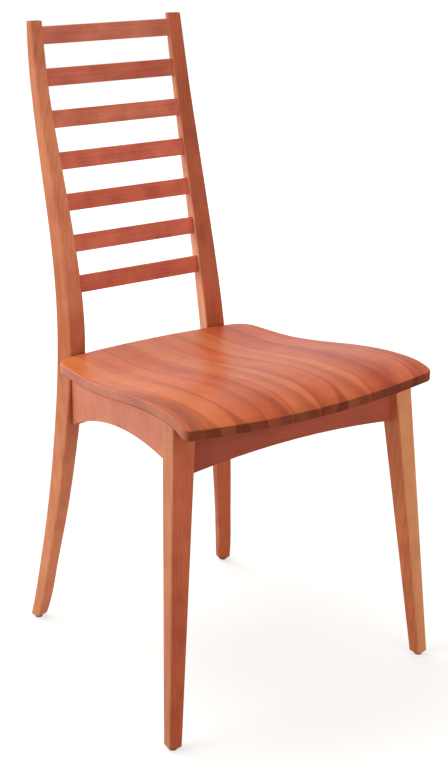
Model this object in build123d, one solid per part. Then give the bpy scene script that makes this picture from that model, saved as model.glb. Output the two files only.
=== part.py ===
from build123d import *
from math import atan2, cos, degrees, radians, sin, sqrt, tan
import os

# A dining chair with a back of seven slats. It faces -Y, and +X is the sitter's left.
# Depths are measured from the middle of the back posts at their waist, near the seat.
# All sizes are in millimetres and all angles in degrees.

# Back posts: one length of wood each, swept back above and below the waist
post_height = 954.5
waist_drop = 38.0
rear_foot_spread = 377.0
waist_spread = 275.0
post_top_spread = 251.0
rear_foot_back = 45.0
post_top_back = 94.5
waist_inward_lean = 5.7
top_inward_lean = 2.9
top_back_lean = 5.7
post_foot_width = 20.5
post_foot_depth = 18.0
widest_lift = 9.0
widest_width = 33.5
widest_depth = 32.5
post_top_width = 22.0
post_top_depth = 12.5
post_foot_turn = 14.0
widest_turn = 12.0
post_top_turn = 9.0
post_round = 3.0
post_stations = 12

# Front legs: square, tapered to the foot, splayed to the side and forwards
front_foot_spread = 467.0
front_foot_forward = 417.5
leg_top_spread = 391.0
leg_top_forward = 384.0
leg_top_drop = 29.0
leg_foot_size = 20.0
leg_top_size = 33.8
leg_round = 3.0

# Feet: a chamfered end with a nailed glide
foot_chamfer = 3.5
glide_height = 3.0
glide_diameter = 12.0
nail_diameter = 2.5
nail_length = 20.0
nail_head_cover = 1.2

# Seat: flat at the back, rising to a crest and rolling over at the front
seat_height = 461.0
seat_rise = 26.5
seat_drop = 20.5
seat_depth = 448.0
seat_flat_depth = 107.0
seat_crest_depth = 367.0
seat_thickness = 16.0
seat_back_forward = 12.0
seat_rear_width = 361.0
seat_front_width = 441.0
seat_rear_bow = 16.0
seat_front_bow = 13.0
seat_rear_round = 36.0
seat_front_round = 11.0
seat_edge_round = 3.0
stave_count = 10
stave_width = 47.0

# Aprons: rails under the seat, arched below, set back from the faces of the legs
apron_thickness = 19.0
apron_setback = 11.0
front_arch_drop = 57.0
front_arch_radius = 1500.0
side_arch_drop = 53.0
side_arch_radius = 640.0
side_arch_from_leg = 98.0
rear_apron_height = 62.0

# Ledge inside the rear apron, which carries the back of the seat
ledge_reach = 23.0
ledge_height = 12.0
ledge_room = 1.0

# Slats of the back, let into the posts with stub tenons
slat_count = 7
slat_top_drop = 8.5
slat_pitch = 61.9
slat_height = 26.6
slat_thickness = 9.0
slat_setback = 1.5
slat_tenon = 10.0
slat_round = 1.5

# Dowels, two at each apron end, at heights that miss each other inside the leg
dowel_diameter = 8.0
dowel_length = 34.0
dowel_spacing = 32.0
dowel_chamfer = 1.0
dowel_stagger = 12.0
front_dowel_drop = 62.0
rear_dowel_drop = 44.0

# Corner blocks, screwed to two aprons each, with one more screw up into the seat
block_leg = 64.0
block_height = 24.0
block_drop = 4.0
screw_inset = 33.0
screw_bite = 12.0
screw_grip = 25.0
screw_diameter = 4.0
screw_head_diameter = 8.0
screw_head_height = 2.6
screw_tip = 4.0
seat_screw_bite = 10.0
seat_screw_recess = 6.0
seat_screw_inset = 22.0
counterbore_room = 0.5
screw_room = 0.3

# Room for glue in every joint
joint_gap = 0.1

# Room kept around shapes that only cut others
reach = 300.0

# Heights on the posts, legs and aprons that go with the seat's height, and the slats' with the posts'
waist_height = seat_height - waist_drop
widest_height = seat_height + widest_lift
leg_top_height = seat_height - leg_top_drop
front_arch_height = seat_height - front_arch_drop
side_arch_height = seat_height - side_arch_drop
slat_top_height = post_height - slat_top_drop


def bezier(points, t):
    """One coordinate of a Bezier curve with two to four control values."""
    while len(points) > 1:
        points = [a + (b - a) * t for a, b in zip(points, points[1:])]
    return points[0]


def post_centre(height):
    """Middle of the left post at a height: a parabola below the waist, a cubic above it."""
    lean_in = tan(radians(waist_inward_lean))
    if height < waist_height:
        t = height / waist_height
        half = waist_height / 2
        x = bezier([rear_foot_spread / 2, waist_spread / 2 + lean_in * half, waist_spread / 2], t)
        y = bezier([rear_foot_back, 0, 0], t)
        return x, y
    rise = post_height - waist_height
    t = (height - waist_height) / rise
    third = rise / 3
    top_x = post_top_spread / 2
    top_in = tan(radians(top_inward_lean))
    top_back = tan(radians(top_back_lean))
    x = bezier([waist_spread / 2, waist_spread / 2 - lean_in * third, top_x + top_in * third, top_x], t)
    y = bezier([0, 0, post_top_back - top_back * third, post_top_back], t)
    return x, y


def post_size(height):
    """Width, depth and turn of the post's section at a height, tapered from the widest place."""
    if height < widest_height:
        t = height / widest_height
        ends = (post_foot_width, widest_width), (post_foot_depth, widest_depth), (post_foot_turn, widest_turn)
    else:
        t = (height - widest_height) / (post_height - widest_height)
        ends = (widest_width, post_top_width), (widest_depth, post_top_depth), (widest_turn, post_top_turn)
    return [bezier(pair, t) for pair in ends]


def leg_centre(height):
    """Middle of the left front leg at a height, on a straight line."""
    t = height / leg_top_height
    x = bezier([front_foot_spread / 2, leg_top_spread / 2], t)
    y = bezier([-front_foot_forward, -leg_top_forward], t)
    return x, y


def leg_size(height):
    """Side of the front leg's square section at a height."""
    return bezier([leg_foot_size, leg_top_size], height / leg_top_height)


# The side apron runs from the front leg to the waist of the post, and turns the leg with it
side_start_x, side_start_y = leg_centre(leg_top_height)
side_end_x, side_end_y = post_centre(waist_height)
side_turn = degrees(atan2(side_start_x - side_end_x, side_end_y - side_start_y))
side_length = sqrt((side_end_x - side_start_x) ** 2 + (side_end_y - side_start_y) ** 2)
side_along = Vector(-sin(radians(side_turn)), cos(radians(side_turn)), 0)
side_outward = Vector(cos(radians(side_turn)), sin(radians(side_turn)), 0)
side_offset = leg_top_size / 2 - apron_setback

# The full section of a post or leg starts above the chamfer of its foot
foot_height = glide_height + foot_chamfer


def section(centre, size, turn, rounding, height):
    """Rounded rectangle across a leg, its front face turned towards the middle by an angle."""
    angle = radians(turn)
    place = Plane(
        origin=(centre[0], centre[1], height), x_dir=(cos(angle), -sin(angle), 0), z_dir=(0, 0, 1)
    )
    return place * RectangleRounded(*size, rounding)


def post_section(height, wider=0.0, deeper=0.0):
    """Section of the left back post at a height, grown on each side by two amounts."""
    width, depth, turn = post_size(height)
    size = width + 2 * wider, depth + 2 * deeper
    return section(post_centre(height), size, turn, post_round, height)


def leg_section(height, wider=0.0, deeper=0.0):
    """Section of the left front leg at a height, grown on each side by two amounts."""
    size = leg_size(height) + 2 * wider, leg_size(height) + 2 * deeper
    return section(leg_centre(height), size, -side_turn, leg_round, height)


def foot_solid(cross_section):
    """The chamfered end of a post or leg, on top of its glide."""
    narrow = cross_section(glide_height, -foot_chamfer, -foot_chamfer)
    return loft([narrow, cross_section(foot_height)], ruled=True)


def post_solid(wider=0.0, deeper=0.0):
    """The left back post, grown where it cuts the room for a joint."""
    steps = [i / (post_stations - 1) for i in range(post_stations)]
    heights = [foot_height + (post_height - foot_height) * t for t in steps]
    return loft([post_section(height, wider, deeper) for height in heights])


def leg_solid(wider=0.0, deeper=0.0):
    """The left front leg, running up past the seat, grown where it cuts the room for a joint."""
    heights = (foot_height, seat_height + seat_rise)
    return loft([leg_section(height, wider, deeper) for height in heights], ruled=True)


def seat_line(lift):
    """The seat's line from back to front, moved up or down: a flat, an S-bend and a roll."""
    low = seat_height + lift
    high = low + seat_rise
    bend = (seat_crest_depth - seat_flat_depth) / 3
    roll = (seat_depth - seat_crest_depth) / 3
    flat = Line((reach, low), (-seat_flat_depth, low))
    rise = Bezier(
        (-seat_flat_depth, low),
        (-seat_flat_depth - bend, low),
        (-seat_crest_depth + bend, high),
        (-seat_crest_depth, high),
    )
    lip = Bezier(
        (-seat_crest_depth, high),
        (-seat_crest_depth - roll, high),
        (-seat_depth + roll, high),
        (-seat_depth, high - seat_drop),
    )
    return flat + rise + lip


def seat_top_at(depth):
    """Height of the seat's top at a distance in front of the posts, behind the crest."""
    t = min(max((depth - seat_flat_depth) / (seat_crest_depth - seat_flat_depth), 0), 1)
    return seat_height + seat_rise * (3 * t**2 - 2 * t**3)


def above_seat_line(lift):
    """Everything above the seat's line, as a wide block that trims legs, aprons and seat."""
    top = seat_height + reach
    line = seat_line(lift)
    close = Polyline(line @ 1, (-seat_depth, top), (reach, top), line @ 0)
    face = Plane.YZ * make_face(line + close)
    return extrude(face, reach, both=True)


def seat_outline():
    """Plan of the seat: bowed at the back and the front, with straight sides."""
    rear_x = seat_rear_width / 2
    front_x = seat_front_width / 2
    rear_y = -seat_back_forward - seat_rear_bow
    front_y = -seat_depth + seat_front_bow
    edges = ThreePointArc((-rear_x, rear_y), (0, -seat_back_forward), (rear_x, rear_y))
    edges += Line((rear_x, rear_y), (front_x, front_y))
    edges += ThreePointArc((front_x, front_y), (0, -seat_depth), (-front_x, front_y))
    edges += Line((-front_x, front_y), (-rear_x, rear_y))
    face = make_face(edges)
    face = fillet(face.vertices().group_by(Axis.Y)[-1], seat_rear_round)
    return fillet(face.vertices().group_by(Axis.Y)[0], seat_front_round)


def seat_blank():
    """The whole seat with its edges eased, before it is seen as staves."""
    prism = Pos(0, 0, seat_height - seat_thickness) * extrude(seat_outline(), reach)
    blank = (prism & above_seat_line(-seat_thickness)) - above_seat_line(0)
    upright = [f for f in blank.faces() if abs(f.normal_at().Z) < 0.01]
    rims = [e for f in upright for e in f.edges() if abs(e.tangent_at(0.5).Z) < 0.9]
    return fillet(ShapeList(rims), seat_edge_round)


def slat_solid(index, grow=0.0):
    """A slat with its tenons, tilted like the posts, grown where it cuts its mortises."""
    middle = slat_top_height - slat_height / 2 - index * slat_pitch
    x, y = post_centre(middle)
    ahead = post_centre(middle + 1)[1]
    lean = degrees(atan2(ahead - y, 1))
    width = post_size(middle)[0]
    length = 2 * (x - width / 2 + slat_tenon + grow)
    bar = Box(length, slat_thickness + 2 * grow, slat_height + 2 * grow)
    bar = fillet(bar.edges().filter_by(Axis.X), slat_round + grow)
    return Pos(0, y + slat_setback, middle) * Rot(-lean, 0, 0) * bar


def plate(origin, along, length, bottom):
    """An upright board with a given lower edge, its outer face through the origin line."""
    top = seat_height + seat_rise
    outward = along.cross(Vector(0, 0, 1))
    edge = bottom + Polyline(bottom @ 1, (length, top), (0, top), bottom @ 0)
    face = Plane(origin=origin, x_dir=along, z_dir=outward) * make_face(edge)
    return extrude(face, -apron_thickness)


def arch(start, end, apex, height, radius):
    """A round arch between two points along an apron, through its apex."""
    def rise(s):
        return height - radius + sqrt(radius**2 - (s - apex) ** 2)

    middle = (start + end) / 2
    return ThreePointArc((start, rise(start)), (middle, rise(middle)), (end, rise(end)))


def inner_face_x(centre, width, turn, y):
    """Where a leg's inner face meets a line across the chair at a depth."""
    angle = radians(turn)
    along = (y - centre[1] - width / 2 * sin(angle)) / cos(angle)
    return centre[0] - width / 2 * cos(angle) + along * sin(angle)


def mirrored(shape):
    """The same piece for the sitter's right."""
    return mirror(shape, about=Plane.YZ)


def dowel(place, direction, grow=0.0):
    """A dowel with its middle at the joint, or the hole for it."""
    pin = Cylinder(dowel_diameter / 2 + grow, dowel_length + 2 * grow)
    if grow == 0:
        pin = chamfer(pin.edges().filter_by(GeomType.CIRCLE), dowel_chamfer)
    return Plane(origin=place, z_dir=direction) * pin


def screw(place, direction, length):
    """A pan-head screw: its head's underside at a place, its point along a direction."""
    shank = Cylinder(screw_diameter / 2, length - screw_tip, align=(Align.CENTER, Align.CENTER, Align.MIN))
    point = Pos(0, 0, length - screw_tip) * Cone(
        screw_diameter / 2, 0, screw_tip, align=(Align.CENTER, Align.CENTER, Align.MIN)
    )
    head = Cylinder(
        screw_head_diameter / 2, screw_head_height, align=(Align.CENTER, Align.CENTER, Align.MAX)
    )
    head = fillet(head.edges().group_by(Axis.Z)[0], screw_head_height / 3)
    return Plane(origin=place, z_dir=direction) * (shank + point + head)


def screw_hole(place, direction, length):
    """Room for a screw and for the tool that drives its head."""
    room = screw_head_diameter / 2 + counterbore_room
    shank = Cylinder(
        screw_diameter / 2 + screw_room, length + screw_room, align=(Align.CENTER, Align.CENTER, Align.MIN)
    )
    bore = Cylinder(room, block_leg, align=(Align.CENTER, Align.CENTER, Align.MAX))
    return Plane(origin=place, z_dir=direction) * (shank + bore)


# Solid blanks that the joints are cut from
post = post_solid() + foot_solid(post_section)
leg = leg_solid() + foot_solid(leg_section)
post_room = post_solid(joint_gap, joint_gap)
leg_room = leg_solid(joint_gap, joint_gap)
over_underside = above_seat_line(-seat_thickness - joint_gap)
leg = leg - over_underside

# Slats and their mortises
slats = [slat_solid(i) for i in range(slat_count)]
for i in range(slat_count):
    post = post - slat_solid(i, joint_gap)

# Side apron, from the middle of the leg to the middle of the post
side_origin = Vector(side_start_x, side_start_y, 0) + side_outward * side_offset
side_arch = arch(0, side_length, side_arch_from_leg, side_arch_height, side_arch_radius)
side_ends = leg_solid(apron_thickness, joint_gap) + post_solid(apron_thickness, joint_gap)
side_apron = plate(side_origin, side_along, side_length, side_arch) - over_underside - side_ends

# Front apron, across the chair between the front legs
front_face_y = -leg_top_forward - leg_top_size / 2 + apron_setback
front_half = leg_top_spread / 2
front_arch = arch(0, 2 * front_half, front_half, front_arch_height, front_arch_radius)
front_apron = plate(Vector(-front_half, front_face_y, 0), Vector(1, 0, 0), 2 * front_half, front_arch)
front_end = leg_solid(joint_gap, apron_thickness)
front_apron = front_apron - over_underside - front_end - mirrored(front_end)

# Rear apron, straight, between the posts
rear_face_y = apron_thickness / 2
rear_half = waist_spread / 2
rear_low = seat_height - seat_thickness - rear_apron_height
rear_line = Line((0, rear_low), (2 * rear_half, rear_low))
rear_apron = plate(Vector(rear_half, rear_face_y, 0), Vector(-1, 0, 0), 2 * rear_half, rear_line)
rear_end = post_solid(joint_gap, apron_thickness)
rear_apron = rear_apron - over_underside - rear_end - mirrored(rear_end)

# Dowels: in the front and side apron at the leg, in the side and rear apron at the post
side_middle = side_offset - apron_thickness / 2
front_middle_y = front_face_y + apron_thickness / 2
rear_middle_y = rear_face_y - apron_thickness / 2
leg_underside = seat_top_at(leg_top_forward) - seat_thickness
post_underside = seat_height - seat_thickness
dowels = []
for i in range(2):
    low_front = leg_underside - front_dowel_drop + i * dowel_spacing
    face_x = inner_face_x(leg_centre(low_front), leg_size(low_front), -side_turn, front_middle_y)
    dowels.append(((face_x, front_middle_y, low_front), (1, 0, 0), "leg", "front"))

    low_side = low_front + dowel_stagger
    axis = Vector(*leg_centre(low_side), low_side) + side_outward * side_middle
    place = axis + side_along * (leg_size(low_side) / 2)
    dowels.append((place, side_along, "leg", "side"))

    low_rear = post_underside - rear_dowel_drop + i * dowel_spacing
    width, depth, turn = post_size(low_rear)
    face_x = inner_face_x(post_centre(low_rear), width, turn, rear_middle_y)
    dowels.append(((face_x, rear_middle_y, low_rear), (1, 0, 0), "post", "rear"))

    low_post = low_rear - dowel_stagger
    axis = Vector(*post_centre(low_post), low_post) + side_outward * side_middle
    place = axis - side_along * (post_size(low_post)[1] / 2)
    dowels.append((place, side_along, "post", "side"))

dowel_pins = []
for place, direction, upright, rail in dowels:
    hole = dowel(place, direction, joint_gap)
    pin = dowel(place, direction)
    dowel_pins += [pin, mirrored(pin)]
    if upright == "leg":
        leg = leg - hole
    else:
        post = post - hole
    if rail == "side":
        side_apron = side_apron - hole
    elif rail == "front":
        front_apron = front_apron - hole - mirrored(hole)
    else:
        rear_apron = rear_apron - hole - mirrored(hole)

# Corner blocks sit where the side apron's inner face meets the front or the rear apron's
side_inner = side_origin - side_outward * apron_thickness


def side_inner_at(y):
    """Point of the side apron's inner face at a depth."""
    return side_inner + side_along * ((y - side_inner.Y) / side_along.Y)


blocks = {}
block_screws = []
seat_screws = []
seat_holes = []
for name, face_y, inward, rail in (
    ("front", front_face_y + apron_thickness, side_along, "front"),
    ("rear", rear_face_y - apron_thickness, -side_along, "rear"),
):
    corner = side_inner_at(face_y)
    across = Vector(-1, 0, 0)
    underside = seat_top_at(-face_y) - seat_thickness
    top = underside - block_drop
    points = [corner, corner + across * block_leg, corner + inward * block_leg]
    plan = make_face(Polyline(*[(p.X, p.Y) for p in points], close=True))
    block = Pos(0, 0, top - block_height) * extrude(plan, block_height)
    block = block - leg_room - post_room

    # One screw into the cross apron, one into the side apron, one up into the seat
    into_cross = Vector(0, -1, 0) if rail == "front" else Vector(0, 1, 0)
    low = top - block_height / 2 - screw_diameter
    high = top - block_height / 2 + screw_diameter
    cross_at = corner + across * screw_inset - into_cross * screw_grip + Vector(0, 0, low)
    side_at = corner + inward * screw_inset - side_outward * screw_grip + Vector(0, 0, high)
    middle = corner + (across + inward) * seat_screw_inset
    head_z = top - block_height + seat_screw_recess
    seat_at = Vector(middle.X, middle.Y, head_z)
    seat_length = seat_top_at(-middle.Y) - seat_thickness + seat_screw_bite - head_z
    up = Vector(0, 0, 1)
    length = screw_grip + screw_bite
    for place, direction, size in ((cross_at, into_cross, length), (side_at, side_outward, length)):
        piece = screw(place, direction, size)
        block_screws += [piece, mirrored(piece)]
    piece = screw(seat_at, up, seat_length)
    seat_screws += [piece, mirrored(piece)]

    cross_hole = screw_hole(cross_at, into_cross, length)
    side_hole = screw_hole(side_at, side_outward, length)
    seat_hole = screw_hole(seat_at, up, seat_length)
    blocks[name] = block - cross_hole - side_hole - seat_hole
    side_apron = side_apron - side_hole
    if rail == "front":
        front_apron = front_apron - cross_hole - mirrored(cross_hole)
    else:
        rear_apron = rear_apron - cross_hole - mirrored(cross_hole)
    seat_holes += [seat_hole, mirrored(seat_hole)]

# The ledge of the rear apron widens forwards, along the slanted faces of the corner blocks
ledge_back = rear_face_y - apron_thickness
ledge_front = ledge_back - ledge_reach
ledge_half = side_inner_at(ledge_back).X - block_leg - ledge_room
ledge_flare = ledge_half + ledge_reach * (1 - side_along.X) / side_along.Y
ledge_corners = [(ledge_half, rear_middle_y), (ledge_half, ledge_back), (ledge_flare, ledge_front)]
ledge_corners += [(-x, y) for x, y in reversed(ledge_corners)]
ledge = extrude(make_face(Polyline(*ledge_corners, close=True)), 2 * ledge_height)
ledge = Pos(0, 0, post_underside - ledge_height) * ledge - over_underside
rear_apron = rear_apron + ledge

# The seat stands clear of the posts, and is parted into its staves
seat = seat_blank() - post_room - mirrored(post_room)
joints = [stave_width * (stave_count / 2 - i) for i in range(1, stave_count)]
staves = []
for left, right in zip([reach] + joints, joints + [-reach]):
    slab = Pos((left + right) / 2, -seat_depth / 2, seat_height) * Box(left - right, 2 * seat_depth, reach)
    staves.append((seat & slab) - seat_holes)

# Glides: a pad under each foot, held by a nail
pads = []
nails = []
for x, y in (leg_centre(glide_height), post_centre(glide_height)):
    pad = Cylinder(glide_diameter / 2, glide_height, align=(Align.CENTER, Align.CENTER, Align.MIN))
    pad = fillet(pad.edges().group_by(Axis.Z)[0], glide_height / 3)
    nail = Pos(0, 0, nail_head_cover) * Cylinder(
        nail_diameter / 2, nail_length, align=(Align.CENTER, Align.CENTER, Align.MIN)
    )
    hole = Pos(0, 0, nail_head_cover) * Cylinder(
        nail_diameter / 2 + joint_gap, nail_length + joint_gap, align=(Align.CENTER, Align.CENTER, Align.MIN)
    )
    at = Pos(x, y, 0)
    pads += [at * (pad - nail), mirrored(at * (pad - nail))]
    nails += [at * nail, mirrored(at * nail)]
    leg = leg - at * hole
    post = post - at * hole

# Every piece by the name of its node
nodes = {
    "left_back_post": post,
    "right_back_post": mirrored(post),
    "left_front_leg": leg,
    "right_front_leg": mirrored(leg),
    "front_apron": front_apron,
    "rear_apron": rear_apron,
    "left_side_apron": side_apron,
    "right_side_apron": mirrored(side_apron),
    "apron_dowels": Compound(children=dowel_pins),
    "corner_block_screws": Compound(children=block_screws),
    "seat_screws": Compound(children=seat_screws),
    "glide_pads": Compound(children=pads),
    "glide_nails": Compound(children=nails),
}
for i, slat in enumerate(slats):
    nodes[f"back_slat_{i + 1}"] = slat
for i, stave in enumerate(staves):
    nodes[f"seat_stave_{i + 1}"] = stave
for name, block in blocks.items():
    nodes[f"left_{name}_corner_block"] = block
    nodes[f"right_{name}_corner_block"] = mirrored(block)

# The origin is on the floor, in the middle of the space that the chair takes up
box = Compound(children=[Part() + shape for shape in nodes.values()]).bounding_box()
to_origin = Pos(0, -(box.min.Y + box.max.Y) / 2, 0)
os.makedirs("parts", exist_ok=True)
for name, shape in nodes.items():
    export_step(to_origin * shape, f"parts/{name}.step")
print(f"{len(nodes)} nodes, {box.size.X:.1f} x {box.size.Y:.1f} x {box.size.Z:.1f} mm")
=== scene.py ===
from math import radians

import bpy
import numpy as np
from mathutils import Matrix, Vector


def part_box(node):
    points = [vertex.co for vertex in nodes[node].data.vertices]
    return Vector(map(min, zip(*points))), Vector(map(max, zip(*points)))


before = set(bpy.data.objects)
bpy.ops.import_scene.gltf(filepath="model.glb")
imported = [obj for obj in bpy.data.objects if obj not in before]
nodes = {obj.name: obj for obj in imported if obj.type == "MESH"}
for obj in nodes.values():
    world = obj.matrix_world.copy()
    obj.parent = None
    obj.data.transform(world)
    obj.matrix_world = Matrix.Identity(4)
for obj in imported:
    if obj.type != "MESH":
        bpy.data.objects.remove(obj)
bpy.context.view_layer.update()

# Back posts: two lengths of red alder, sawn from plank to a double sweep and sanded round
# at the edges. The lacquer is satin, so the grain shows and the light spreads softly.


def linear(hex_colour):
    """Linear colour of an sRGB hex value."""
    parts = np.array([int(hex_colour[i : i + 2], 16) for i in (1, 3, 5)]) / 255
    light = np.where(parts <= 0.04045, parts / 12.92, ((parts + 0.055) / 1.055) ** 2.4)
    return (*light, 1.0)


def add(tree, kind, inputs=None, **settings):
    """Adds a node, gives it its settings, and fills or links its inputs."""
    made = tree.nodes.new(kind)
    for name, value in settings.items():
        setattr(made, name, value)
    for name, value in (inputs or {}).items():
        if isinstance(value, bpy.types.NodeSocket):
            tree.links.new(value, made.inputs[name])
        else:
            made.inputs[name].default_value = value
    return made


def lacquered_alder(
    name,
    node,
    tones,
    along,
    pith,
    *,
    ring_mm,
    seed,
    rings=0.2,
    far_rings=1.0,
    stripes=0.8,
    stripe_mm=25,
    stain=0.9,
    side=None,
    tone_and_shade_run=((), ()),
    end_tone="#7E3822",
    glue_line=None,
    gloss=(0.42, 0.56),
    shine=0.2,
):
    """Sawn alder under satin lacquer: growth layers, stripes, fibres and stained blotches.

    Tones are the light and the dark colour, along is the axis of the grain, and the seed
    picks another place in the patterns. The growth layers are rings about a pith line at a
    distance (pith, in metres) from the middle of the node, wavy along the grain, so a face
    shaped through them shows flowing lines. Rings, stripes and stain say how strongly each
    pattern shows, and far_rings how much of the rings is left at the far end of the grain.
    A side is the axis of the two faces that are cut square to the others, with their own
    light and dark colour. A tone and shade run says how much darker the colour is painted at
    even steps along the grain, once for the front and once for the side faces; it is partly
    the wood's tone and partly painted shade and painted light. A glue line is the middle and
    the half width of a stave. Gloss is the range of roughness, and shine the specular level.
    """
    material = bpy.data.materials.new(name)
    material.use_nodes = True
    tree = material.node_tree
    tree.nodes.clear()
    # Along the grain everything is drawn out, and the grain is turned to the X axis
    grain_stretch = 12
    seed_step = 0.37
    low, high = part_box(node)
    axis = "XYZ".index(along)
    stretch = np.ones(3)
    stretch[axis] = 1 / grain_stretch
    mid = np.array(low + high) / 2 * stretch
    turn, turned = {
        "X": ((0, 0, 0), mid),
        "Y": ((0, 0, radians(-90)), mid[[1, 0, 2]] * (1, -1, 1)),
        "Z": ((0, radians(90), 0), mid[[2, 1, 0]] * (1, 1, -1)),
    }[along]
    shift = np.array([seed * seed_step, *pith]) - turned
    spot = add(tree, "ShaderNodeTexCoord")
    lie = {"Scale": tuple(stretch), "Rotation": turn, "Location": tuple(shift)}
    grain = add(tree, "ShaderNodeMapping", {"Vector": spot.outputs["Object"], **lie})
    grain = grain.outputs["Vector"]
    # Growth layers: the wave has 20 radians to a unit, so one ring is 0.314 of a unit
    ring_in_units = 0.314
    waves = {"Distortion": 7.0, "Detail": 3.0, "Detail Scale": 0.35, "Detail Roughness": 0.6}
    layers = add(
        tree,
        "ShaderNodeTexWave",
        {"Vector": grain, "Scale": ring_in_units / (ring_mm / 1000), **waves},
        wave_type="RINGS",
        rings_direction="X",
        wave_profile="SAW",
    )
    # Each layer darkens slowly to its late wood, then ends at a sharp line
    late = add(tree, "ShaderNodeValToRGB", {"Fac": layers.outputs["Fac"]})
    late.color_ramp.elements[0].color = (0, 0, 0, 1)
    late.color_ramp.elements[1].color = (0.1, 0.1, 0.1, 1)
    for position, value in ((0.45, 0.2), (0.88, 1.0)):
        late.color_ramp.elements.new(position).color = (value, value, value, 1)
    wide = {"Scale": 1000 / stripe_mm, "Detail": 3.0, "Roughness": 0.55}
    broad = add(tree, "ShaderNodeTexNoise", {"Vector": grain, **wide})
    # Fibres are finer than a tenth of a millimetre: drawn at 2.5 mm and four times as long
    # as the rest, so that they show
    fibre_mm = 2.5
    fibre_share = 0.45
    thin = {"Scale": 1000 / fibre_mm, "Detail": 3.0, "Roughness": 0.65}
    longer = add(tree, "ShaderNodeMapping", {"Vector": grain, "Scale": (1 / 4, 1, 1)})
    fibres = add(tree, "ShaderNodeTexNoise", {"Vector": longer.outputs["Vector"], **thin})
    # Blotches where the stain sank in unevenly
    blotch_mm = 40
    patches = {"Vector": spot.outputs["Object"], "Scale": 1000 / blotch_mm, "Detail": 2.0}
    blotches = add(tree, "ShaderNodeTexNoise", patches)
    # All four add up to one tone, from 0, light, to 1, dark
    where = add(tree, "ShaderNodeSeparateXYZ", {"Vector": spot.outputs["Object"]})
    length = {"Value": where.outputs[along], "From Min": low[axis], "From Max": high[axis]}
    share = add(tree, "ShaderNodeMapRange", length)
    fade = {"Value": share.outputs["Result"], "To Min": rings, "To Max": rings * far_rings}
    fade = add(tree, "ShaderNodeMapRange", fade)
    drawn = {0: late.outputs["Color"], 1: fade.outputs["Result"]}
    tone = add(tree, "ShaderNodeMath", drawn, operation="MULTIPLY").outputs[0]
    for part, amount in ((broad, stripes), (fibres, fibre_share), (blotches, stain)):
        more = {0: part.outputs["Fac"], 1: amount, 2: tone}
        tone = add(tree, "ShaderNodeMath", more, operation="MULTIPLY_ADD").outputs[0]
    relief = tone
    # About what they add up to on average is taken off, so that the middle tone is near 0.5
    layer_average = 0.3
    noise_average = 0.5
    even = layer_average / 2 * rings * (1 + far_rings)
    even += noise_average * (stripes + fibre_share + stain)
    centred = {0: tone, 1: even - 0.5}
    tone = add(tree, "ShaderNodeMath", centred, operation="SUBTRACT", use_clamp=True).outputs[0]
    if glue_line:
        # The joint between two staves shows as a dark line, drawn 3 mm wide so that it shows
        line_width = 0.003
        line_tone = 0.35
        middle_x, half = glue_line
        off = {0: where.outputs["X"], 1: middle_x}
        off = add(tree, "ShaderNodeMath", off, operation="SUBTRACT")
        near = add(tree, "ShaderNodeMath", {0: off.outputs[0]}, operation="ABSOLUTE")
        line = {"Value": near.outputs[0], "From Min": half - line_width, "From Max": half}
        line = add(tree, "ShaderNodeMapRange", {**line, "To Max": line_tone})
        more = {0: tone, 1: line.outputs["Result"]}
        tone = add(tree, "ShaderNodeMath", more, operation="ADD", use_clamp=True).outputs[0]
    # The tone is shifted along the grain, partly as the wood's tone and partly as painted shade
    # and painted light, and gives each pair of faces its colour. The shift is kept in a ramp of
    # greys, where 0.5 is no change.
    facing = add(tree, "ShaderNodeSeparateXYZ", {"Vector": spot.outputs["Normal"]})
    colours = []
    for (light, dark), steps in zip((tones, side[1:]) if side else (tones,), tone_and_shade_run):
        depth = tone
        if steps:
            darker = add(tree, "ShaderNodeValToRGB", {"Fac": share.outputs["Result"]})
            darker.color_ramp.interpolation = "EASE"
            for place, step in enumerate(steps):
                if place > 1:
                    darker.color_ramp.elements.new(1.0)
                mark = darker.color_ramp.elements[place]
                mark.position = place / (len(steps) - 1)
                mark.color = (0.5 + step / 2,) * 3 + (1,)
            twice = {0: darker.outputs["Color"], 1: 2.0, 2: -1.0}
            change = add(tree, "ShaderNodeMath", twice, operation="MULTIPLY_ADD")
            more = {0: tone, 1: change.outputs[0]}
            depth = add(tree, "ShaderNodeMath", more, operation="ADD", use_clamp=True).outputs[0]
        blend = {"Fac": depth, "Color1": linear(light), "Color2": linear(dark)}
        colours.append(add(tree, "ShaderNodeMixRGB", blend).outputs["Color"])
    colour = colours[0]
    if side:
        square = add(tree, "ShaderNodeMath", {0: facing.outputs[side[0]]}, operation="ABSOLUTE")
        edge = {"Value": square.outputs[0], "From Min": 0.5, "From Max": 0.85}
        edge = add(tree, "ShaderNodeMapRange", edge)
        both = {"Fac": edge.outputs["Result"], "Color1": colours[0], "Color2": colours[1]}
        colour = add(tree, "ShaderNodeMixRGB", both).outputs["Color"]
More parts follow.
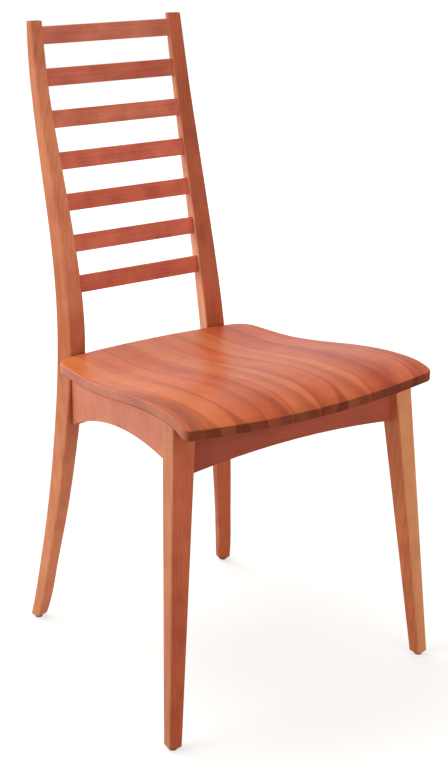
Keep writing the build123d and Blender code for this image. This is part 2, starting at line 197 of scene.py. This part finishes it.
    # End grain drinks more of the stain, in blotches, and keeps less of the lacquer's gloss.
    # The underside is as dull, because it is sanded less finely.
    dull_roughness = 0.85
    across = add(tree, "ShaderNodeMath", {0: facing.outputs[along]}, operation="ABSOLUTE")
    end = {"Value": across.outputs[0], "From Min": 0.45, "From Max": 0.85}
    end = add(tree, "ShaderNodeMapRange", end).outputs["Result"]
    thirst = {"Value": tone, "From Max": 0.8, "To Min": 0.6, "To Max": 1.0}
    thirst = add(tree, "ShaderNodeMapRange", thirst).outputs["Result"]
    drunk = add(tree, "ShaderNodeMath", {0: end, 1: thirst}, operation="MULTIPLY").outputs[0]
    soak = {"Fac": drunk, "Color1": colour, "Color2": linear(end_tone)}
    soaked = add(tree, "ShaderNodeMixRGB", soak)
    under = {"Value": facing.outputs["Z"], "From Min": -0.05, "From Max": -0.3}
    under = add(tree, "ShaderNodeMapRange", under).outputs["Result"]
    dull = add(tree, "ShaderNodeMath", {0: end, 1: under}, operation="MAXIMUM").outputs[0]
    satin = {"Value": fibres.outputs["Fac"], "To Min": gloss[0], "To Max": gloss[1]}
    satin = add(tree, "ShaderNodeMapRange", satin).outputs["Result"]
    rough = {"Value": dull, "To Min": satin, "To Max": dull_roughness}
    rough = add(tree, "ShaderNodeMapRange", rough)
    bump = add(tree, "ShaderNodeBump", {"Height": relief, "Strength": 0.12, "Distance": 0.0004})
    lacquer = add(
        tree,
        "ShaderNodeBsdfPrincipled",
        {
            "Base Color": soaked.outputs["Color"],
            "Roughness": rough.outputs["Result"],
            "Normal": bump.outputs["Normal"],
            "IOR": 1.45,
            "Specular IOR Level": shine,
        },
    )
    add(tree, "ShaderNodeOutputMaterial", {"Surface": lacquer.outputs["BSDF"]})
    return material


def finish(node, material):
    """Gives a CAD node its material."""
    nodes[node].data.materials.clear()
    nodes[node].data.materials.append(material)


# Each post has its own plank: tones of the front, tones of the sides, and how much darker
# and lighter both are painted up the post. The sides are paler than the fronts, partly the
# wood and partly a painted sheen, as on faces turned to the side lamp. The runs up the posts
# are partly tone and partly painted shade, darker below the seat on the left post's sides.
post_tones_and_shade = (
    (
        "left",
        ("#C4643E", "#944428"),
        ("X", "#E6A07C", "#A85230"),
        ((-0.6, -0.6, -0.6, -0.2, 0.1, 0.2, -0.1), (0.45, 0.45, 0.45, -0.35, -0.2, 0.15, 0.2)),
    ),
    (
        "right",
        ("#DC8860", "#A44C32"),
        ("X", "#D08862", "#B0603A"),
        ((-0.5, -0.45, -0.3, 0.05, -0.3, -0.45, 0.05), (-0.35, -0.3, -0.1, 0.3, 0.1, -0.1, 0.15)),
    ),
)
for number, (hand, front, side, tone_and_shade_run) in enumerate(post_tones_and_shade):
    post = f"{hand}_back_post"
    plank = dict(ring_mm=6.0, seed=1 + number, side=side, tone_and_shade_run=tone_and_shade_run, end_tone="#5C2014")
    finish(post, lacquered_alder(f"alder_{post}", post, front, "Z", (0.05, 0.07), **plank))

# Slats: seven straight laths of alder between the posts, planed and eased at the long edges.
# Each has a stub tenon at both ends, glued into a mortise in the post.
slat_tones = (
    ("#DD8164", "#A74F3B"),
    ("#D87459", "#A24733"),
    ("#E48364", "#AB513B"),
    ("#E3785D", "#AA4A34"),
    ("#DD7256", "#A74532"),
    ("#DD7458", "#A64732"),
    ("#D97254", "#A44531"),
)
for number, tones in enumerate(slat_tones, start=1):
    slat = f"back_slat_{number}"
    pith = (0.03, 0.02 + 0.01 * number)
    lath = dict(ring_mm=7.0, seed=10 + number, rings=0.12, stripes=0.5, stain=1.3)
    finish(slat, lacquered_alder(f"alder_{slat}", slat, tones, "X", pith, **lath))

# Front legs: square lengths of alder, sawn to a taper on all four faces and planed.
# They splay forwards and outwards, and are dowelled to the aprons.
# Both legs are painted darker towards the feet by their runs: painted shade, where the light falls
# off towards the floor.
leg_tones_and_shade = (
    ("left", ("#E19569", "#C07444"), ("X", "#E38B5D", "#B9623A"), ((0.1, 0), (0.35, 0))),
    ("right", ("#CE6A45", "#A2492B"), ("X", "#CE865E", "#AE6642"), ((0.35, 0), (0.35, 0))),
)
for number, (hand, front, side, tone_and_shade_run) in enumerate(leg_tones_and_shade):
    leg = f"{hand}_front_leg"
    cut = dict(ring_mm=6.0, seed=20 + number, side=side, tone_and_shade_run=tone_and_shade_run)
    finish(leg, lacquered_alder(f"alder_{leg}", leg, front, "Z", (0.04, 0.06), **cut))

# Aprons: alder boards on edge under the seat, bandsawn to an arch below, except for the
# straight one at the back, which has a ledge for the seat. They are dowelled to the legs
# and posts.
cross_tones = ("#AC5238", "#8C3C26")
# The front and rear aprons are painted darker at their low X end, beside the leg, and lighter at
# the other end: painted shade.
apron_shade_run = ((0.35, 0.1, 0, -0.1, -0.3), ())
for number, apron in enumerate(("front_apron", "rear_apron")):
    board = dict(ring_mm=7.0, seed=30 + number, tone_and_shade_run=apron_shade_run)
    alder = lacquered_alder(f"alder_{apron}", apron, cross_tones, "X", (0.03, 0.09), **board)
    finish(apron, alder)
side_tones = ("#D28264", "#B6664A")
for number, hand in enumerate(("left", "right")):
    apron = f"{hand}_side_apron"
    board = dict(ring_mm=8.0, seed=33 + number, rings=0.1, stripes=0.5, stain=1.4)
    alder = lacquered_alder(f"alder_{apron}", apron, side_tones, "Y", (0.05, 0.08), **board)
    finish(apron, alder)

# Dowels: turned pins of bare beech, two in each apron end, glued in and hidden once the
# frame is together. They are drawn as the alder is, in paler tones.
dowel_tones = ("#D8B98C", "#BF9A6A")
bare = dict(ring_mm=5.0, seed=40, end_tone="#B08A5C")
beech = lacquered_alder("beech_dowels", "apron_dowels", dowel_tones, "X", (0.2, 0.2), **bare)
finish("apron_dowels", beech)

# Corner blocks: triangles of the same alder, sawn from offcuts. They brace the corners
# under the seat and are screwed into the aprons from inside.
block_tones = ("#C98560", "#A86444")
for number, corner in enumerate(("left_front", "right_front", "left_rear", "right_rear")):
    block = f"{corner}_corner_block"
    offcut = dict(ring_mm=6.0, seed=50 + number)
    alder = lacquered_alder(f"alder_{block}", block, block_tones, "X", (0.03, 0.05), **offcut)
    finish(block, alder)


# Screws and nails: zinc-plated steel, formed from drawn wire. The screws hold the corner
# blocks and the seat from below, and a nail holds each glide.
def zinc_plated_steel(name):
    """Dull bright metal, mottled at about 2 mm."""
    mottle_mm = 2
    material = bpy.data.materials.new(name)
    material.use_nodes = True
    tree = material.node_tree
    tree.nodes.clear()
    spot = add(tree, "ShaderNodeTexCoord")
    fine = {"Vector": spot.outputs["Object"], "Scale": 1000 / mottle_mm, "Detail": 2.0}
    mottle = add(tree, "ShaderNodeTexNoise", fine).outputs["Fac"]
    blend = {"Fac": mottle, "Color1": linear("#B9B8B2"), "Color2": linear("#D3D2CB")}
    colour = add(tree, "ShaderNodeMixRGB", blend)
    rough = add(tree, "ShaderNodeMapRange", {"Value": mottle, "To Min": 0.28, "To Max": 0.45})
    bump = add(tree, "ShaderNodeBump", {"Height": mottle, "Strength": 0.1, "Distance": 0.0002})
    steel = add(
        tree,
        "ShaderNodeBsdfPrincipled",
        {
            "Base Color": colour.outputs["Color"],
            "Metallic": 1.0,
            "Roughness": rough.outputs["Result"],
            "Normal": bump.outputs["Normal"],
        },
    )
    add(tree, "ShaderNodeOutputMaterial", {"Surface": steel.outputs["BSDF"]})
    return material


steel = zinc_plated_steel("zinc_plated_steel")
for fixing in ("corner_block_screws", "seat_screws", "glide_nails"):
    finish(fixing, steel)

# Seat: ten staves of alder glued side by side, then shaped as one to a hollow and a rolled
# front edge, so the growth layers of each stave come out as flowing lines. It is glossier
# than the frame, and the posts are mirrored in it.
stave_tones = (
    ("#CE683E", "#A84C2C"),
    ("#D26C42", "#A84A2E"),
    ("#CC6238", "#9E3C20"),
    ("#D87646", "#B0522C"),
    ("#D46A3C", "#A64826"),
    ("#D87646", "#B0542E"),
    ("#D06638", "#A24422"),
    ("#D86E3E", "#AC4C28"),
    ("#DA7842", "#B2562E"),
    ("#C46742", "#9E4B2F"),
)
heart_sides = (1, 1, -1, -1, 1, -1, -1, -1, -1, 1)
end_tones = ("#743620", "#662A16", "#6C301A")
stave_width = 0.047
middle_stave = 4.5
for number, (tones, heart_side) in enumerate(zip(stave_tones, heart_sides)):
    stave = f"seat_stave_{number + 1}"
    middle_x = stave_width * (middle_stave - number)
    pith = (0.12 * heart_side, 0.05)
    shaped = dict(
        ring_mm=36.0 + 7 * (number % 3),
        seed=60 + number,
        rings=0.75,
        far_rings=0.2,
        stripes=0.5,
        stripe_mm=30,
        stain=0.7,
        # The staves are painted a little darker at the front and lighter towards the back.
        tone_and_shade_run=((0.05, 0.0, -0.05, -0.1, -0.1), ()),
        side=("X", "#BE6E50", "#985238"),
        end_tone=end_tones[number % 3],
        glue_line=(middle_x, stave_width / 2),
        gloss=(0.32, 0.44),
        shine=0.23,
    )
    finish(stave, lacquered_alder(f"alder_{stave}", stave, tones, "Y", pith, **shaped))


# Glides: a button under each foot, so that the wood doesn't scrape on the floor. They are
# moulded in grey nylon, matt from the mould and dusty from use, and a nail holds each one.
def moulded_nylon(name):
    """Matt moulded plastic with a fine, dusty grain of about 1.1 mm."""
    material = bpy.data.materials.new(name)
    material.use_nodes = True
    tree = material.node_tree
    tree.nodes.clear()
    spot = add(tree, "ShaderNodeTexCoord")
    fine = {"Vector": spot.outputs["Object"], "Scale": 900.0, "Detail": 3.0}
    dust = add(tree, "ShaderNodeTexNoise", fine).outputs["Fac"]
    blend = {"Fac": dust, "Color1": linear("#56524E"), "Color2": linear("#75706A")}
    colour = add(tree, "ShaderNodeMixRGB", blend)
    rough = add(tree, "ShaderNodeMapRange", {"Value": dust, "To Min": 0.5, "To Max": 0.7})
    bump = add(tree, "ShaderNodeBump", {"Height": dust, "Strength": 0.2, "Distance": 0.0003})
    nylon = add(
        tree,
        "ShaderNodeBsdfPrincipled",
        {
            "Base Color": colour.outputs["Color"],
            "Roughness": rough.outputs["Result"],
            "Normal": bump.outputs["Normal"],
            "IOR": 1.53,
        },
    )
    add(tree, "ShaderNodeOutputMaterial", {"Surface": nylon.outputs["BSDF"]})
    return material


finish("glide_pads", moulded_nylon("moulded_grey_nylon"))

# Studio: a pale floor, white to the camera but for the chair's shadow, and soft light that
# comes mostly from the chair's right-hand side, which is the left of the picture.
floor_half = 6
corner_signs = ((-1, -1), (1, -1), (1, 1), (-1, 1))
corners = [(x * floor_half, y * floor_half, 0) for x, y in corner_signs]
floor_mesh = bpy.data.meshes.new("floor")
floor_mesh.from_pydata(corners, [], [(0, 1, 2, 3)])
floor = bpy.data.objects.new("floor", floor_mesh)
bpy.context.scene.collection.objects.link(floor)


def seen_directly(tree):
    """1 for what the camera, a gloss or a glass sees, and 0 for the light that falls on things."""
    rays = add(tree, "ShaderNodeLightPath")
    seen = rays.outputs["Is Camera Ray"]
    for kind in ("Is Glossy Ray", "Is Transmission Ray"):
        either = {0: seen, 1: rays.outputs[kind]}
        seen = add(tree, "ShaderNodeMath", either, operation="MAXIMUM").outputs[0]
    return seen


paper = bpy.data.materials.new("white_paper_floor")
paper.use_nodes = True
tree = paper.node_tree
tree.nodes.clear()
# The floor glows less near the chair, where the lamps light it and the shadow falls
near, far, near_glow = 0.8, 2.2, 0.6
spot = add(tree, "ShaderNodeTexCoord")
away = add(tree, "ShaderNodeVectorMath", {0: spot.outputs["Object"]}, operation="LENGTH")
rise = {"Value": away.outputs["Value"], "From Min": near, "From Max": far, "To Min": near_glow}
level = add(tree, "ShaderNodeMapRange", rise)
shown = {0: seen_directly(tree), 1: level.outputs["Result"]}
glow = add(tree, "ShaderNodeMath", shown, operation="MULTIPLY")
lit = add(tree, "ShaderNodeEmission", {"Strength": glow.outputs[0]})
matt = add(tree, "ShaderNodeBsdfDiffuse", {"Color": linear("#BCBAB6")})
both = add(tree, "ShaderNodeAddShader", {0: lit.outputs[0], 1: matt.outputs[0]})
add(tree, "ShaderNodeOutputMaterial", {"Surface": both.outputs[0]})
floor_mesh.materials.append(paper)

# The world is white to the camera, and lights the chair less than that
world_light = 0.42
world = bpy.data.worlds.new("studio")
world.use_nodes = True
tree = world.node_tree
tree.nodes.clear()
level = add(tree, "ShaderNodeMapRange", {"Value": seen_directly(tree), "To Min": world_light})
white = {"Color": (1, 1, 1, 1), "Strength": level.outputs["Result"]}
sky = add(tree, "ShaderNodeBackground", white)
add(tree, "ShaderNodeOutputWorld", {"Surface": sky.outputs[0]})
bpy.context.scene.world = world


def lamp(name, place, target, width, height, power):
    """An upright soft box, in metres and watts, that looks at a point."""
    data = bpy.data.lights.new(name, "AREA")
    data.shape = "RECTANGLE"
    data.size = width
    data.size_y = height
    data.energy = power
    made = bpy.data.objects.new(name, data)
    made.location = place
    aim = np.array(target) - np.array(place)
    flat = float(np.hypot(aim[0], aim[1]))
    tilt = float(np.arctan2(flat, -aim[2]))
    turn = float(np.arctan2(-aim[0], aim[1]))
    made.rotation_euler = (tilt, 0, turn)
    bpy.context.scene.collection.objects.link(made)


lamp("side", (-2.5, 0.6, 1.1), (0, 0, 0.6), 1.6, 2.0, 42)
lamp("top", (-0.3, 0.8, 2.8), (0, 0, 0.4), 1.6, 1.6, 40)
lamp("front", (0.3, -2.6, 0.9), (0, 0, 0.6), 1.4, 1.7, 26)
lamp("back", (-0.7, 2.6, 1.6), (0, 0, 0.5), 1.4, 1.4, 14)

# Camera: about 2.2 m from the chair and 1.2 m up, at the front on the chair's right-hand side,
# with a lens of portrait length on a full frame.
lens = bpy.data.cameras.new("camera")
lens.lens = 70.17
lens.sensor_width = 36
camera = bpy.data.objects.new("camera", lens)
camera.location = (-1.2484, -1.7646, 1.1564)
camera.rotation_euler = (radians(71.36), 0, radians(-35.98))
bpy.context.scene.collection.objects.link(camera)
bpy.context.scene.camera = camera
bpy.context.scene.view_settings.view_transform = "Standard"
